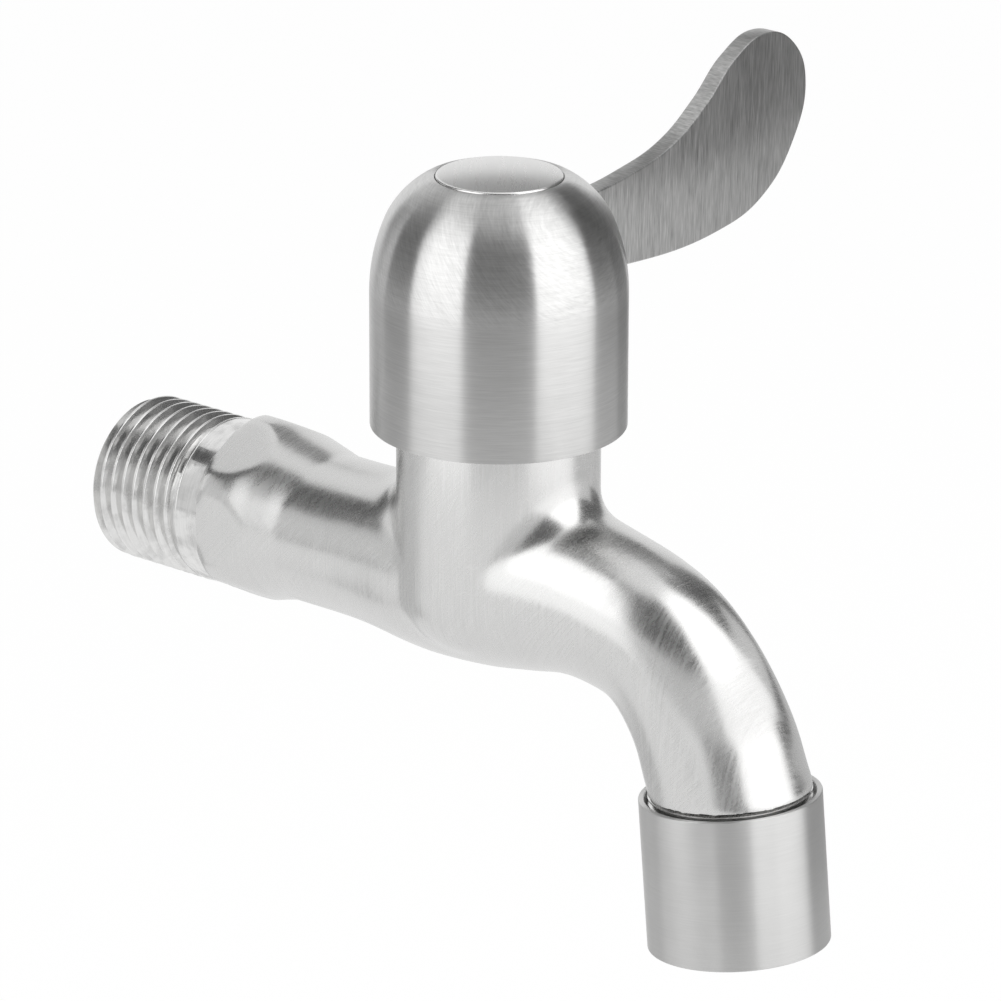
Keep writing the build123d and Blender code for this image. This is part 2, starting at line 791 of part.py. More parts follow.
# Strainer screen on top of the core
with BuildPart() as strainer_screen:
    with BuildSketch(outlet.offset(cage_bottom - core_height - screen_height)):
        Circle(core_radius)
        with Locations(*hexagonal_places(screen_rings, screen_pitch)):
            RegularPolygon(screen_hole_radius, 6, mode=Mode.SUBTRACT)
    extrude(amount=screen_height)
save(strainer_screen, "strainer_screen")
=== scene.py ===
import bpy
import json
from math import acos, atan2, cos, degrees, pi, radians, sin
from mathutils import Matrix, Vector

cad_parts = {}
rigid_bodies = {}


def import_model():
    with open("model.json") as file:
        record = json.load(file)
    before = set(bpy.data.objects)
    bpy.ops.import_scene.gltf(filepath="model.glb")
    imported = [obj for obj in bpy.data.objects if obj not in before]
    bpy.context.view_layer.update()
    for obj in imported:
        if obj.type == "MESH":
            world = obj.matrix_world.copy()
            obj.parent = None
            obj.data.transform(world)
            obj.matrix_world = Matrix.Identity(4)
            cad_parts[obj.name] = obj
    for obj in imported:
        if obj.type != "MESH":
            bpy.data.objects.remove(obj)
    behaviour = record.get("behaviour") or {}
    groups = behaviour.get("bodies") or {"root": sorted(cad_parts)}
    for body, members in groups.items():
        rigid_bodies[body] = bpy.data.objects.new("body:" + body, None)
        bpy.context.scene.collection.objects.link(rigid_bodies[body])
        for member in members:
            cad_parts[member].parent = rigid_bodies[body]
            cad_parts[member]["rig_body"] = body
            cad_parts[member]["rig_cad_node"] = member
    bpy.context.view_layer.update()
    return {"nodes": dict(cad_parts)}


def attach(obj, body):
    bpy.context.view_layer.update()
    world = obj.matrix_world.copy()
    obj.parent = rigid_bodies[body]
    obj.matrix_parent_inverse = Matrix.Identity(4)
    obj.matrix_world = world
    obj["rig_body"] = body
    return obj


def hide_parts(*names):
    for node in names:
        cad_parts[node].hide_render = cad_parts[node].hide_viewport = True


# Quarter-turn bib tap in brushed steel. Sizes are in millimetres, as in the model that it dresses
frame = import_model()
nodes = frame["nodes"]
mm = 0.001
weld = 0.002 * mm  # points closer than this are one

# Places of the turned pieces: each outline's heights run along the axis and its radii along the side
valveX = 46.53
valveMiddle = (valveX, 0, 0)
valve = {"centre": Vector(valveMiddle), "axis": Vector((0, 0, 1)), "side": Vector((1, 0, 0))}
inlet = {"centre": Vector((0, 0, 0)), "axis": Vector((1, 0, 0)), "side": Vector((0, 0, 1))}
collar = {"centre": Vector((0, 0, 0.4)), "axis": Vector((1, 0, 0)), "side": Vector((0, 0, 1))}
outletTilt = radians(5.23)
outletDirection = Vector((sin(outletTilt), 0, -cos(outletTilt)))
shoulderCentre = Vector((83.08, 0, -17.77))
sleeveStart = 0.65  # from the shoulder of the spout
outlet = {"centre": shoulderCentre + outletDirection * sleeveStart, "axis": outletDirection,
          "side": Vector((0, 1, 0))}


def deselectAll():
    if bpy.context.object and bpy.context.object.mode != "OBJECT":
        bpy.ops.object.mode_set(mode="OBJECT")
    bpy.ops.object.select_all(action="DESELECT")


def pickUp(piece):
    deselectAll()
    piece.select_set(True)
    bpy.context.view_layer.objects.active = piece


def arcPoints(centre, radius, start, end, steps):
    # start and end in degrees, in the plane of an outline
    angles = [radians(start + (end - start) * step / steps) for step in range(steps + 1)]
    return [(centre[0] + radius * cos(angle), centre[1] + radius * sin(angle)) for angle in angles]


def arcBetween(first, last, radius, steps):
    # arc that bulges away from the axis
    middle = Vector(((first[0] + last[0]) / 2, (first[1] + last[1]) / 2))
    chord = Vector((last[0] - first[0], last[1] - first[1]))
    inward = Vector((-chord.y, chord.x)).normalized()
    centre = middle + inward * (radius ** 2 - (chord.length / 2) ** 2) ** 0.5
    start = degrees(atan2(first[1] - centre.y, first[0] - centre.x))
    end = degrees(atan2(last[1] - centre.y, last[0] - centre.x))
    return arcPoints(centre, radius, start, end, steps)


def drawOutline(name, points, closed):
    # a plane pulled together into one point, which is then drawn out along the outline
    deselectAll()
    bpy.ops.mesh.primitive_plane_add(size=mm, location=points[0])
    piece = bpy.context.object
    piece.name = name
    bpy.ops.object.mode_set(mode="EDIT")
    bpy.ops.mesh.select_all(action="SELECT")
    bpy.ops.mesh.merge(type="CENTER")
    ahead = points[1:] + points[:1] if closed else points[1:]
    for here, there in zip(points, ahead):
        bpy.ops.mesh.extrude_vertices_move(TRANSFORM_OT_translate={"value": there - here})
    bpy.ops.mesh.select_all(action="SELECT")
    bpy.ops.mesh.remove_doubles(threshold=0.001 * mm)
    return piece


def turnPiece(name, outline, place, steps=160, closed=True):
    # outline of (radius, height) points, spun about the axis of its place
    centre, axis, side = place["centre"], place["axis"], place["side"]
    points = [(centre + side * radius + axis * height) * mm for radius, height in outline]
    piece = drawOutline(name, points, closed)
    bpy.ops.mesh.spin(steps=steps, angle=2 * pi, center=centre * mm, axis=axis, use_auto_merge=True)
    bpy.ops.mesh.select_all(action="SELECT")
    bpy.ops.mesh.remove_doubles(threshold=weld)
    bpy.ops.mesh.normals_make_consistent(inside=False)
    bpy.ops.object.mode_set(mode="OBJECT")
    bpy.ops.object.transform_apply(location=True, rotation=True, scale=True)
    return piece


def applyModifier(piece, kind, settings):
    pickUp(piece)
    modifier = piece.modifiers.new(kind.lower(), kind)
    for key, value in settings.items():
        setattr(modifier, key, value)
    bpy.ops.object.modifier_apply(modifier=modifier.name)


def roundEdges(piece, width, segments=3, angle=30):
    applyModifier(piece, "BEVEL", {
        "width": width * mm, "segments": segments, "limit_method": "ANGLE", "angle_limit": radians(angle)})


def combine(piece, tool, operation):
    applyModifier(piece, "BOOLEAN", {"object": tool, "operation": operation, "solver": "EXACT"})
    bpy.data.objects.remove(tool)


def blockBetween(name, low, high):
    deselectAll()
    bpy.ops.mesh.primitive_cube_add(size=1, location=(Vector(low) + Vector(high)) * mm / 2)
    block = bpy.context.object
    block.name = name
    bpy.ops.object.mode_set(mode="EDIT")
    bpy.ops.transform.resize(value=(Vector(high) - Vector(low)) * mm)
    bpy.ops.object.mode_set(mode="OBJECT")
    bpy.ops.object.transform_apply(location=True, rotation=True, scale=True)
    return block


def finishPiece(piece, body, material, stands=(), smoothAngle=32):
    pickUp(piece)
    bpy.ops.object.transform_apply(location=True, rotation=True, scale=True)
    bpy.ops.object.shade_smooth_by_angle(angle=radians(smoothAngle))
    piece.data.materials.clear()
    piece.data.materials.append(material)
    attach(piece, body)
    if stands:
        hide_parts(*stands)
    print("made", piece.name, len(piece.data.polygons), "faces")


class Value:
    # a shader socket on which sums, differences and products add Math nodes

    def __init__(self, tree, socket=None):
        self.tree = tree
        self.socket = socket

    def add(self, kind, settings=None, sockets=None, output=0):
        node = self.tree.nodes.new(kind)
        for key, value in (settings or {}).items():
            setattr(node, key, value)
        for key, value in (sockets or {}).items():
            if isinstance(value, Value):
                self.tree.links.new(value.socket, node.inputs[key])
            else:
                node.inputs[key].default_value = value
        return Value(self.tree, node.outputs[output] if len(node.outputs) else None)

    def calculate(self, operation, first, second):
        return self.add("ShaderNodeMath", {"operation": operation}, {0: first, 1: second})

    def __add__(self, other):
        return self.calculate("ADD", self, other)

    def __radd__(self, other):
        return self.calculate("ADD", other, self)

    def __sub__(self, other):
        return self.calculate("SUBTRACT", self, other)

    def __rsub__(self, other):
        return self.calculate("SUBTRACT", other, self)

    def __mul__(self, other):
        return self.calculate("MULTIPLY", self, other)

    def __rmul__(self, other):
        return self.calculate("MULTIPLY", other, self)


def newMaterial(name):
    material = bpy.data.materials.new(name)
    material.use_nodes = True
    material.node_tree.nodes.clear()
    return material, Value(material.node_tree)


def streaks(graph, stretch, seed, turn=(0, 0, 0), centre=(0, 0, 0), detail=2.0, roughness=0.6):
    # fine lines left by a belt: a noise squeezed by the three factors of stretch, in lines per metre
    place = graph.add("ShaderNodeTexCoord", output=3)
    mapped = graph.add("ShaderNodeMapping", {"vector_type": "TEXTURE"}, {
        "Vector": place, "Location": Vector(centre) * mm, "Rotation": [radians(angle) for angle in turn]})
    squeezed = graph.add("ShaderNodeVectorMath", {"operation": "MULTIPLY"}, {0: mapped, 1: stretch})
    return graph.add("ShaderNodeTexNoise", {"noise_dimensions": "4D"},
                     {"Vector": squeezed, "W": seed, "Scale": 1.0, "Detail": detail, "Roughness": roughness})


def patches(graph, scale, seed, low, high):
    # soft areas that go from 0 to 1 where a coarse noise passes from low to high
    place = graph.add("ShaderNodeTexCoord", output=3)
    noise = graph.add("ShaderNodeTexNoise", {"noise_dimensions": "4D"},
                      {"Vector": place, "W": seed, "Scale": scale, "Detail": 3.0, "Roughness": 0.55})
    return graph.add("ShaderNodeMapRange", {"interpolation_type": "SMOOTHSTEP"},
                     {"Value": noise, "From Min": low, "From Max": high})


def metalShader(graph, tone, tint, roughness, height, heightScale, settings):
    warm = graph.add("ShaderNodeMix", {"data_type": "RGBA", "blend_type": "MULTIPLY"},
                     {"Factor": 1.0, 6: tone, 7: tint}, output=2)
    bump = graph.add("ShaderNodeBump", None, {"Height": height, "Strength": 1.0, "Distance": heightScale})
    sockets = {"Base Color": warm, "Roughness": roughness, "Normal": bump, "Metallic": 1.0}
    sockets.update(settings)
    shader = graph.add("ShaderNodeBsdfPrincipled", None, sockets)
    graph.add("ShaderNodeOutputMaterial", None, {"Surface": shader})


def turnedSteel(name, look):
    # belt-brushed steel whose lines all run one way
    material, graph = newMaterial(name)
    turn, centre = look.get("turn", (0, 0, 0)), look.get("centre", (0, 0, 0))
    fine = streaks(graph, look["fine"], look["seed"], turn, centre)
    coarse = streaks(graph, look["coarse"], look["seed"] + 3.7, turn, centre, 3.0)
    smudge = patches(graph, look["smudgeScale"], look["seed"] + 9.1, 0.42, 0.68)
    lines = fine * 0.6 + coarse * 0.4
    tone = look["tone"] + (lines - 0.5) * look["contrast"] - smudge * look["smudge"]
    roughness = look["roughness"] + (coarse - 0.5) * look["roughnessChange"] + smudge * look["smudge"]
    if "domeFrom" in look:
        # the dome is buffed finer than the side, with short scratches across it
        place = graph.add("ShaderNodeTexCoord", output=3)
        height = graph.add("ShaderNodeSeparateXYZ", None, {"Vector": place}, output=2)
        dome = graph.add("ShaderNodeMapRange", {"interpolation_type": "SMOOTHSTEP"}, {
            "Value": height, "From Min": look["domeFrom"] * mm, "From Max": look["domeTo"] * mm})
        scratch = streaks(graph, look["scratch"], look["seed"] + 14.2, look["scratchTurn"], centre)
        tone = tone + (scratch - 0.5) * dome * look["scratchTone"]
        roughness = roughness - dome * look["domeFiner"]
        lines = lines + (scratch - 0.5) * dome
    metalShader(graph, tone, look["tint"], roughness, lines, look["depth"] * mm, look.get("settings", {}))
    return material


def castSteel(name, look):
    # polished casting: faint belt lines in a few directions that come and go, and some longer scratches
    material, graph = newMaterial(name)
    lines = None
    for number, (stretch, turn, share) in enumerate(look["belts"]):
        belt = streaks(graph, stretch, look["seed"] + number * 5.3, turn, valveMiddle)
        where = patches(graph, look["patchScale"], look["seed"] + number * 2.9, 0.4, 0.6)
        layer = (belt - 0.5) * (0.35 + where * 0.65) * share
        lines = layer if lines is None else lines + layer
    scratches = None
    for number, (stretch, turn, share) in enumerate(look["scratches"]):
        noise = streaks(graph, stretch, look["seed"] + 31 + number * 7.7, turn, valveMiddle, 1.0)
        line = graph.add("ShaderNodeMapRange", {"interpolation_type": "SMOOTHSTEP"}, {
            "Value": noise, "From Min": look["scratchFrom"], "From Max": look["scratchFrom"] + 0.06})
        scratches = line * share if scratches is None else scratches + line * share
    smudge = patches(graph, look["smudgeScale"], look["seed"] + 12.4, 0.42, 0.7)
    tone = look["tone"] + lines * look["contrast"] + scratches * look["scratchTone"] - smudge * look["smudge"]
    roughness = look["roughness"] + lines * look["roughnessChange"] + smudge * look["smudge"]
    roughness = roughness + scratches * look["scratchRoughness"]
    height = lines + scratches * look["scratchDepth"]
    metalShader(graph, tone, look["tint"], roughness, height, look["depth"] * mm, look.get("settings", {}))
    return material


def plainStuff(name, look):
    # rubber, ceramic, plastic and brass of the parts inside: a fine grain and slow changes of shade
    material, graph = newMaterial(name)
    grain = streaks(graph, look["grain"], look["seed"])
    cloud = patches(graph, look["cloud"], look["seed"] + 4.4, 0.35, 0.7)
    mixed = graph.add("ShaderNodeMix", {"data_type": "RGBA"}, {
        "Factor": cloud * 0.6 + grain * 0.4, 6: look["dark"], 7: look["light"]}, output=2)
    bump = graph.add("ShaderNodeBump", None, {
        "Height": grain, "Strength": 1.0, "Distance": look["depth"] * mm})
    roughness = look["roughness"] + (grain - 0.5) * 0.15 + cloud * 0.06
    shader = graph.add("ShaderNodeBsdfPrincipled", None, {
        "Base Color": mixed, "Roughness": roughness, "Normal": bump, "Metallic": look["metallic"]})
    graph.add("ShaderNodeOutputMaterial", None, {"Surface": shader})
    return material


neutral = (1.0, 0.998, 0.99, 1)
# Lines that run round the axis smear a reflection up and down
roundBrushed = {"Anisotropic": 1.0, "Anisotropic Rotation": 0.25}
capSteel = turnedSteel("capSteel", {
    "tone": 0.6, "tint": neutral, "contrast": 0.32, "roughness": 0.39, "roughnessChange": 0.1,
    "smudge": 0.02, "smudgeScale": 60, "seed": 1.3, "fine": (300, 300, 9000), "coarse": (70, 70, 2400),
    "depth": 0.002, "centre": valveMiddle, "domeFrom": 36, "domeTo": 39, "domeFiner": 0.06,
    "scratch": (6500, 700, 700), "scratchTurn": (20, -38, 0), "scratchTone": 0.3, "settings": roundBrushed})
buttonSteel = turnedSteel("buttonSteel", {
    "tone": 0.74, "tint": neutral, "contrast": 0.06, "roughness": 0.28, "roughnessChange": 0.08,
    "smudge": 0.01, "smudgeScale": 90, "seed": 4.1, "fine": (7000, 260, 260), "coarse": (2600, 120, 120),
    "depth": 0.002, "turn": (0, 0, 40), "centre": valveMiddle})
bladeSteel = turnedSteel("bladeSteel", {
    "tone": 0.46, "tint": neutral, "contrast": 0.85, "roughness": 0.4, "roughnessChange": 0.2,
    "smudge": 0.02, "smudgeScale": 50, "seed": 8.8, "fine": (900, 7000, 420), "coarse": (600, 4000, 150),
    "depth": 0.004, "turn": (-2, 0, 0), "centre": (valveX, 40, 45), "settings": {"Anisotropic": 0.5}})
sleeveSteel = turnedSteel("sleeveSteel", {
    "tone": 0.63, "tint": neutral, "contrast": 0.14, "roughness": 0.4, "roughnessChange": 0.08,
    "smudge": 0.02, "smudgeScale": 70, "seed": 12.6, "fine": (260, 260, 8000), "coarse": (50, 50, 2600),
    "depth": 0.0015, "turn": (0, -5.23, 0), "centre": (84, 0, -27.8), "settings": roundBrushed})
bodySteel = castSteel("bodySteel", {
    "tone": 0.64, "tint": neutral, "contrast": 0.2, "roughness": 0.27, "roughnessChange": 0.3,
    "smudge": 0.02, "smudgeScale": 45, "patchScale": 60, "seed": 21.5, "depth": 0.0008,
    "scratchFrom": 0.66, "scratchTone": 0.05, "scratchRoughness": 0.08, "scratchDepth": 0.3,
    # each belt or scratch direction: lines per metre, turn in degrees, share
    "belts": (((3600, 180, 180), (0, 0, 0), 0.8), ((3200, 3200, 150), (0, 0, 0), 0.4),
              ((3800, 220, 180), (0, 40, 0), 0.6)),
    "scratches": (((6000, 700, 420), (0, 25, 0), 0.5), ((420, 6500, 500), (10, -30, 25), 0.4))})
threadSteel = turnedSteel("threadSteel", {
    "tone": 0.74, "tint": neutral, "contrast": 0.3, "roughness": 0.17, "roughnessChange": 0.2,
    "smudge": 0.12, "smudgeScale": 420, "seed": 15.2, "fine": (7000, 200, 200), "coarse": (1500, 160, 160),
    "depth": 0.004})
valveBrass = turnedSteel("valveBrass", {
    "tone": 0.74, "tint": (1.0, 0.79, 0.44, 1), "contrast": 0.12, "roughness": 0.3, "roughnessChange": 0.12,
    "smudge": 0.03, "smudgeScale": 120, "seed": 17.9, "fine": (160, 160, 6000), "coarse": (90, 90, 1800),
    "depth": 0.003, "centre": valveMiddle})
springSteel = turnedSteel("springSteel", {
    "tone": 0.66, "tint": neutral, "contrast": 0.1, "roughness": 0.26, "roughnessChange": 0.1, "smudge": 0.02,
    "smudgeScale": 160, "seed": 19.4, "fine": (900, 900, 6000), "coarse": (400, 400, 2000), "depth": 0.002})
sealRubber = plainStuff("sealRubber", {
    "dark": (0.012, 0.012, 0.012, 1), "light": (0.04, 0.039, 0.038, 1), "grain": (2600, 2600, 2600),
    "cloud": 200, "seed": 2.2, "depth": 0.01, "roughness": 0.62, "metallic": 0.0})
discCeramic = plainStuff("discCeramic", {
    "dark": (0.78, 0.76, 0.7, 1), "light": (0.88, 0.87, 0.83, 1), "grain": (3000, 3000, 3000),
    "cloud": 260, "seed": 5.6, "depth": 0.001, "roughness": 0.18, "metallic": 0.0})
whiteAcetal = plainStuff("whiteAcetal", {
    "dark": (0.7, 0.7, 0.68, 1), "light": (0.82, 0.82, 0.8, 1), "grain": (1800, 1800, 1800),
    "cloud": 180, "seed": 7.3, "depth": 0.003, "roughness": 0.4, "metallic": 0.0})
print("materials ready")

# Cast body: hexagon, tube, belly, neck and spout under one smooth skin
castSizes = {"start": 15.2, "cutReach": 20, "hexFront": 6.114, "hexFlats": 21.5, "hexLength": 40,
             "hexMiddle": (10, 0, 0.4), "voxel": 0.4, "smoothing": 10, "smoothAngle": 40}
collarOutline = [(6.0, 4.5), (10.9, 4.5), (10.95, 6.1), (11.75, 6.9), (11.75, 8.8), (11.67, 10.0),
                 (11.45, 11.2), (11.1, 12.4), (10.75, 13.6), (10.4, 15.0), (10.0, 16.7), (9.6, 18.3),
                 (9.2, 20), (6.0, 20)]


def makeHexCollar(sizes):
    ring = turnPiece("hexCollar", collarOutline, collar, 96)
    deselectAll()
    corners = sizes["hexFlats"] / 2 / cos(pi / 6)
    bpy.ops.mesh.primitive_cylinder_add(vertices=6, radius=corners * mm, depth=sizes["hexLength"] * mm,
                                        location=(0, 0, 0), rotation=(0, 0, pi / 6))
    prism = bpy.context.object
    bpy.ops.object.transform_apply(location=False, rotation=True, scale=False)
    prism.rotation_euler = (0, pi / 2, 0)
    prism.location = Vector(sizes["hexMiddle"]) * mm
    bpy.ops.object.transform_apply(location=True, rotation=True, scale=True)
    combine(ring, prism, "INTERSECT")
    return ring


def makeCastBody(sizes):
    deselectAll()
    piece = nodes["body"].copy()
    piece.data = nodes["body"].data.copy()
    piece.name = "castBody"
    bpy.context.scene.collection.objects.link(piece)
    piece.parent = None
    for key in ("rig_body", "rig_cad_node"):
        del piece[key]
    pickUp(piece)
    bpy.ops.object.mode_set(mode="EDIT")
    bpy.ops.mesh.select_all(action="SELECT")
    bpy.ops.mesh.remove_doubles(threshold=0.001 * mm)
    bpy.ops.object.mode_set(mode="OBJECT")
    reach = sizes["cutReach"]
    inletCut = blockBetween("inletCut", (-reach, -reach, -reach), (sizes["start"], reach, reach))
    combine(piece, inletCut, "DIFFERENCE")
    ring = makeHexCollar(sizes)
    pickUp(piece)
    ring.select_set(True)
    bpy.ops.object.join()
    applyModifier(piece, "REMESH", {
        "mode": "VOXEL", "voxel_size": sizes["voxel"] * mm, "use_smooth_shade": True})
    applyModifier(piece, "SMOOTH", {"factor": 0.5, "iterations": sizes["smoothing"]})
    bpy.ops.object.mode_set(mode="EDIT")
    front = Vector((sizes["hexFront"], 0, 0)) * mm
    for place, direction in ((front, Vector((-1, 0, 0))), (shoulderCentre * mm, outletDirection)):
        # the voxels leave a ragged end, so both ends are cut clean
        bpy.ops.mesh.select_all(action="SELECT")
        bpy.ops.mesh.bisect(plane_co=place, plane_no=direction, use_fill=True, clear_outer=True)
    bpy.ops.object.mode_set(mode="OBJECT")
    finishPiece(piece, "fixed_body", bodySteel, ("body",), sizes["smoothAngle"])


makeCastBody(castSizes)

# Inlet thread: one ridge drawn across a pitch and carried along the screw's line. The ridge's rounding and
# depth are shares of the pitch
threadSizes = {"crest": 10.4775, "pitch": 1.814, "start": -12.698, "chamfer": 1.05, "runout": 1.814,
               "rounding": 0.1373, "depth": 0.6403, "flankAngle": 27.5, "turns": 11, "steps": 96,
               "bore": 6.0, "boreBevel": 0.5, "spare": 0.02, "limitEnd": 1, "cutBefore": 0.2, "cutAfter": 1.2,
               "shank": 10.38, "shankStart": -2.6, "shankFull": 0.1, "shankEnd": 6.9, "shankUnder": 0.05,
               "roundSteps": 128}


def makeInletThread(sizes):
    pitch, crest, flank = sizes["pitch"], sizes["crest"], sizes["flankAngle"]
    nose = sizes["rounding"] * pitch
    root = crest - sizes["depth"] * pitch
    ridge = arcPoints((-pitch / 2, root + nose), nose, -90, -flank, 3)
    ridge += arcPoints((0, crest - nose), nose, 180 - flank, flank, 6)
    ridge += arcPoints((pitch / 2, root + nose), nose, -180 + flank, -90, 3)
    start = sizes["start"] - pitch
    points = [Vector((start + along, 0, radius)) * mm for along, radius in ridge]
    thread = drawOutline("inletThread", points, False)
    bpy.ops.object.mode_set(mode="OBJECT")
    bpy.ops.object.transform_apply(location=True, rotation=True, scale=True)
    applyModifier(thread, "SCREW", {
        "axis": "X", "screw_offset": pitch * mm, "steps": sizes["steps"], "render_steps": sizes["steps"],
        "iterations": sizes["turns"], "use_merge_vertices": True, "merge_threshold": weld,
        "use_smooth_shade": True})
    bpy.ops.object.mode_set(mode="EDIT")
    bpy.ops.mesh.select_all(action="SELECT")
    bpy.ops.mesh.remove_doubles(threshold=weld)
    begin, runout = sizes["start"], sizes["runout"]
    for along, above in ((begin - sizes["cutBefore"], False), (runout + sizes["cutAfter"], True)):
        bpy.ops.mesh.select_all(action="SELECT")
        bpy.ops.mesh.bisect(plane_co=(along * mm, 0, 0), plane_no=(1, 0, 0), use_fill=True,
                            clear_inner=not above, clear_outer=above)
    bpy.ops.mesh.select_all(action="SELECT")
    bpy.ops.mesh.normals_make_consistent(inside=False)
    bpy.ops.object.mode_set(mode="OBJECT")
    # the ridge's ends are cut to the nose and the run-out, and the plain shank follows
    bore, bevel, chamfer, spare = sizes["bore"], sizes["boreBevel"], sizes["chamfer"], sizes["spare"]
    end = runout + sizes["limitEnd"]
    envelope = turnPiece("threadLimits", [
        (bore + bevel, begin), (crest - chamfer, begin), (crest + spare, begin + chamfer + spare),
        (crest + spare, end), (bore, end), (bore, begin + bevel)], inlet, sizes["roundSteps"])
    combine(thread, envelope, "INTERSECT")
    foot = runout + sizes["shankStart"]
    shank = turnPiece("inletShank", [
        (bore, foot), (root - sizes["shankUnder"], foot), (sizes["shank"], runout + sizes["shankFull"]),
        (sizes["shank"], sizes["shankEnd"]), (bore, sizes["shankEnd"])], inlet, sizes["roundSteps"])
    combine(thread, shank, "UNION")
    finishPiece(thread, "fixed_body", threadSteel, ("body",), 32)


makeInletThread(threadSizes)

# Threaded spigot under the sleeve, with one flat-topped ring for each pitch
spigotSizes = {"crest": 9.95, "root": 9.45, "pitch": 0.8, "start": -0.62, "end": 9.55, "bore": 6.8,
               "inside": -2.2, "undercut": 0.4, "ringFoot": (0.1, 0.75), "ringTop": (0.35, 0.5)}


def makeSpigot(sizes):
    root, crest, bore, along = sizes["root"], sizes["crest"], sizes["bore"], sizes["start"]
    (footStart, footEnd), (topStart, topEnd) = sizes["ringFoot"], sizes["ringTop"]
    neck = root - sizes["undercut"]
    outline = [(bore, sizes["inside"]), (neck, sizes["inside"]), (neck, along)]
    while along + sizes["pitch"] < sizes["end"]:
        outline += [(root, along + footStart), (crest, along + topStart), (crest, along + topEnd),
                    (root, along + footEnd)]
        along += sizes["pitch"]
    outline += [(root, sizes["end"]), (bore, sizes["end"])]
    piece = turnPiece("spigotThread", outline, outlet, 128)
    finishPiece(piece, "fixed_body", threadSteel, ("body",))


makeSpigot(spigotSizes)

# Handle cap: a turned dome with a recess for the button, a boss for the bush and a slot for the blade. The
# points of its lip are (radius, depth under the top)
capSizes = {"radius": 15.64, "foot": 20.27, "sideTop": 36.97, "shoulderRadius": 23.0, "shoulderAngle": 23.6,
            "crownRadius": 11.2, "crownEnd": 9.15, "crownTop": 51.03, "lip": ((8.7, 0.18), (8.3, 0.05)),
            "top": 51.43, "wall": 1.5, "recess": 7.8, "recessDepth": 1.48, "pocket": 6.2, "webTop": 46.35,
            "webFoot": 43.75, "hole": 2.15, "bush": 5.6, "bushFoot": 37.55, "boss": 7.4, "roof": 44.25,
            "edge": 0.14, "slotHalf": 1.36, "slotReach": (12.8, 17), "slotHeight": (35.34, 45.86)}


def makeCapShell(sizes):
    radius, foot, top = sizes["radius"], sizes["foot"], sizes["top"]
    middle = (radius - sizes["shoulderRadius"], sizes["sideTop"])
    shoulder = arcPoints(middle, sizes["shoulderRadius"], 0, sizes["shoulderAngle"], 10)
    crown = arcBetween(shoulder[-1], (sizes["crownEnd"], sizes["crownTop"]), sizes["crownRadius"], 10)
    inside = arcPoints(middle, sizes["shoulderRadius"] - sizes["wall"], sizes["shoulderAngle"], 0, 8)
    floor = top - sizes["recessDepth"]
    recess, pocket, hole, bush, boss = (sizes[key] for key in ("recess", "pocket", "hole", "bush", "boss"))
    webTop, webFoot, bushFoot, roof = (sizes[key] for key in ("webTop", "webFoot", "bushFoot", "roof"))
    outline = [(radius, foot)] + shoulder + crown[1:]
    outline += [(along, top - depth) for along, depth in sizes["lip"]]
    outline += [(recess, top), (recess, floor), (pocket, floor), (pocket, webTop), (hole, webTop),
                (hole, webFoot), (bush, webFoot), (bush, bushFoot), (boss, bushFoot), (boss, roof),
                (boss + sizes["wall"], roof)]
    outline += inside + [(radius - sizes["wall"], foot)]
    piece = turnPiece("capShell", outline, valve, 192)
    roundEdges(piece, sizes["edge"], 3, 25)
    half, (near, far), (low, high) = sizes["slotHalf"], sizes["slotReach"], sizes["slotHeight"]
    slot = blockBetween("bladeSlot", (valveX - half, near, low), (valveX + half, far, high))
    combine(piece, slot, "DIFFERENCE")
    finishPiece(piece, "handle", capSteel, ("handle_cap",), 24)


makeCapShell(capSizes)

# Index button in the top of the cap: a low dome with a skirt that grips the cap's pocket
buttonSizes = {"radius": 7.71, "foot": 49.95, "rim": 51.65, "crown": 52.2, "rounding": 0.3, "skirt": 6.1,
               "skirtWall": 0.8, "skirtFoot": 47.55}


def makeIndexButton(sizes):
    reach = sizes["radius"] - sizes["rounding"]
    rise = sizes["crown"] - sizes["rim"]
    ball = (reach ** 2 + rise ** 2) / 2 / rise
    lean = degrees(acos((ball - rise) / ball))
    dome = arcPoints((0, sizes["crown"] - ball), ball, 90, 90 - lean, 16)
    edge = arcPoints((reach, sizes["rim"] - sizes["rounding"]), sizes["rounding"], 90 - lean, 0, 6)
    foot, skirt, wall = sizes["foot"], sizes["skirt"], sizes["skirtWall"]
    outline = dome[:-1] + edge + [(sizes["radius"], foot), (skirt, foot), (skirt, sizes["skirtFoot"]),
                                  (skirt - wall, sizes["skirtFoot"]), (skirt - wall, foot), (0, foot)]
    piece = turnPiece("indexButton", outline, valve, 160, closed=False)
    finishPiece(piece, "handle", buttonSteel, ("index_button",), 30)


makeIndexButton(buttonSizes)

# Lever blade: a flat plate cut to a curved outline, given as (distance from the axis, height)
bladeSizes = {"thickness": 2.6, "edge": 0.22, "tabFoot": 35.4, "tabTop": 45.8, "tabStart": 12.9,
              "tabEnd": 15.69, "rootHandle": 2.6}
bladeRim = [(23.24, 46.51), (31.91, 48.6), (37.92, 52.2), (43.58, 56.79), (49.53, 58.785), (55.31, 56.3),
            (57.8, 50.8), (55.31, 43.4), (49.53, 37.72), (40.46, 35.1)]


